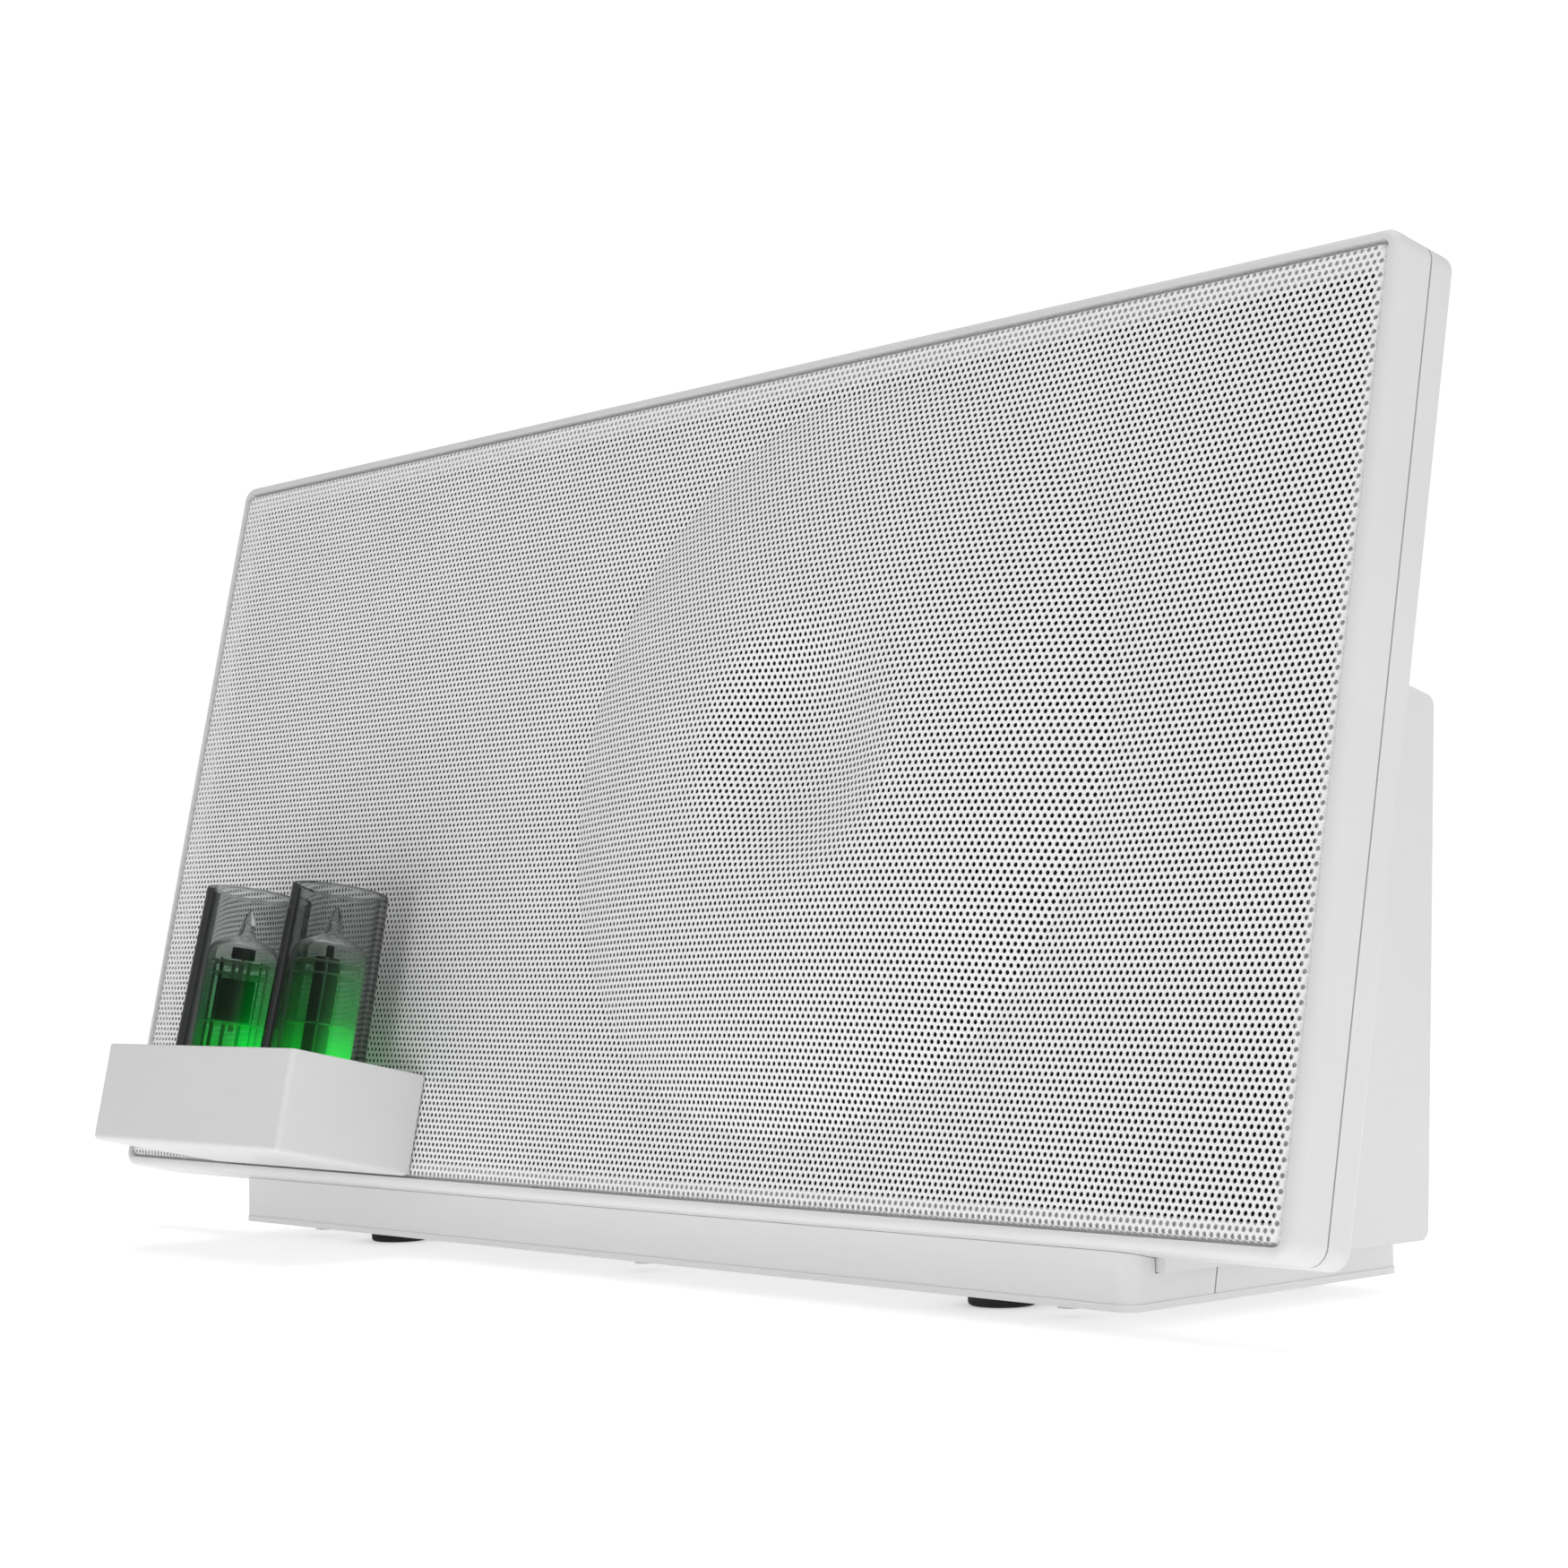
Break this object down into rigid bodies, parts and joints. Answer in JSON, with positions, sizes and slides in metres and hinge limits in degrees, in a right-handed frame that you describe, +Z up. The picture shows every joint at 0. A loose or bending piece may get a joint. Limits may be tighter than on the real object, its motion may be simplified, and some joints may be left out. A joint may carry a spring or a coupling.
{
  "type": "tube hybrid loudspeaker amplifier",
  "caption": "White tabletop tube hybrid amplifier with a leaning perforated loudspeaker front, a rear cabinet on a plinth, and lit vacuum tubes in clear chimneys on a small front tray",
  "frame": {"origin": "bottom centre of the whole object, on the surface it stands on", "axes": "+X to the right seen from the front, +Y towards the back, +Z up"},
  "size_m": [0.46, 0.1744, 0.234],
  "materials": {
    "white_moulding": "satin white moulded ABS",
    "white_grille": "white powder-coated perforated steel",
    "black_board": "black-stained fibre board",
    "black_metal": "fine black powder coat",
    "magnet_iron": "ferrite and plated steel",
    "paper_cone": "pressed black paper",
    "black_rubber": "soft black rubber",
    "spider_cloth": "resin-treated woven cloth",
    "circuit_board": "green solder mask",
    "aluminium": "plain extruded aluminium",
    "steel": "zinc-plated steel",
    "black_plastic": "matt black moulded plastic",
    "brass": "gold-flashed brass",
    "chimney_glass": "clear moulded acrylic, slightly smoked",
    "tube_glass": "thin clear glass",
    "mica": "translucent mica sheet",
    "anode_black": "carbonised nickel",
    "lamp_green": "green light-emitting diode",
    "socket_ceramic": "white ceramic"
  },
  "bodies": {
    "root": {"rear_cabinet": "white_moulding", "front_bezel": "white_moulding", "panel_rear_shell": "white_moulding", "grille": "white_grille", "baffle": "black_board", "panel_screws": "steel", "driver_screws": "black_metal", "tray_shell": "white_moulding", "tray_top": "white_moulding", "tray_screws": "steel", "tube_board": "circuit_board", "tube_lamps": "lamp_green", "amplifier_board": "circuit_board", "filter_capacitors": "aluminium", "heat_sink": "aluminium", "power_transformer": "steel", "plinth_front": "white_moulding", "plinth_rear": "white_moulding", "plinth_plate": "white_moulding", "plinth_screws": "steel", "rubber_feet": "black_rubber", "bass_port": "black_plastic", "connector_plate": "black_metal", "connector_screws": "steel", "mains_inlet": "black_plastic", "switch_frame": "black_plastic", "audio_jacks": "brass", "control_board": "circuit_board", "woofer_basket": "black_metal", "woofer_magnet": "magnet_iron", "woofer_surround": "black_rubber", "woofer_spider": "spider_cloth", "left_driver_basket": "black_metal", "left_driver_magnet": "magnet_iron", "left_driver_surround": "black_rubber", "right_driver_basket": "black_metal", "right_driver_magnet": "magnet_iron", "right_driver_surround": "black_rubber", "tube_left_socket": "socket_ceramic", "tube_right_socket": "socket_ceramic"},
    "tube_left": {"tube_left_envelope": "tube_glass", "tube_left_pins": "steel", "tube_left_supports": "steel", "tube_left_micas": "mica", "tube_left_anodes": "anode_black"},
    "tube_right": {"tube_right_envelope": "tube_glass", "tube_right_pins": "steel", "tube_right_supports": "steel", "tube_right_micas": "mica", "tube_right_anodes": "anode_black"},
    "chimney_left": {"tube_left_chimney": "chimney_glass"},
    "chimney_right": {"tube_right_chimney": "chimney_glass"},
    "power_rocker": {"switch_rocker": "black_plastic"},
    "volume": {"volume_knob": "black_plastic"},
    "source": {"source_button": "black_plastic"},
    "woofer_motion": {"woofer_cone": "paper_cone", "woofer_dust_cap": "paper_cone"},
    "left_driver_motion": {"left_driver_cone": "paper_cone"},
    "right_driver_motion": {"right_driver_cone": "paper_cone"}
  },
  "joints": [
    {"name": "tube_left_pull", "type": "slide", "parent": "root", "child": "tube_left", "axis": [0, 0.2079, 0.9781], "range_m": [0, 0.07]},
    {"name": "tube_right_pull", "type": "slide", "parent": "root", "child": "tube_right", "axis": [0, 0.2079, 0.9781], "range_m": [0, 0.07]},
    {"name": "chimney_left_lift", "type": "slide", "parent": "root", "child": "chimney_left", "axis": [0, 0.2079, 0.9781], "range_m": [0, 0.06]},
    {"name": "chimney_right_lift", "type": "slide", "parent": "root", "child": "chimney_right", "axis": [0, 0.2079, 0.9781], "range_m": [0, 0.06]},
    {"name": "power_rocker_tilt", "type": "hinge", "parent": "root", "child": "power_rocker", "pos_m": [0.114, 0.06805, 0.05694], "axis": [1, 0, 0], "range_deg": [-18, 0]},
    {"name": "volume_turn", "type": "hinge", "parent": "root", "child": "volume", "pos_m": [0.08, 0.0787, 0.05828], "axis": [0, 0.9981, -0.0622], "range_deg": [0, 300]},
    {"name": "source_push", "type": "slide", "parent": "root", "child": "source", "axis": [0, -0.9981, 0.0622], "range_m": [0, 0.0012], "stiffness_N_per_m": 400, "springref_m": -0.0005},
    {"name": "woofer_stroke", "type": "slide", "parent": "root", "child": "woofer_motion", "axis": [0, 0.9781, -0.2079], "range_m": [-0.003, 0.003], "stiffness_N_per_m": 1500},
    {"name": "left_driver_stroke", "type": "slide", "parent": "root", "child": "left_driver_motion", "axis": [0, 0.9781, -0.2079], "range_m": [-0.0015, 0.0015], "stiffness_N_per_m": 1200},
    {"name": "right_driver_stroke", "type": "slide", "parent": "root", "child": "right_driver_motion", "axis": [0, 0.9781, -0.2079], "range_m": [-0.0015, 0.0015], "stiffness_N_per_m": 1200}
  ]
}
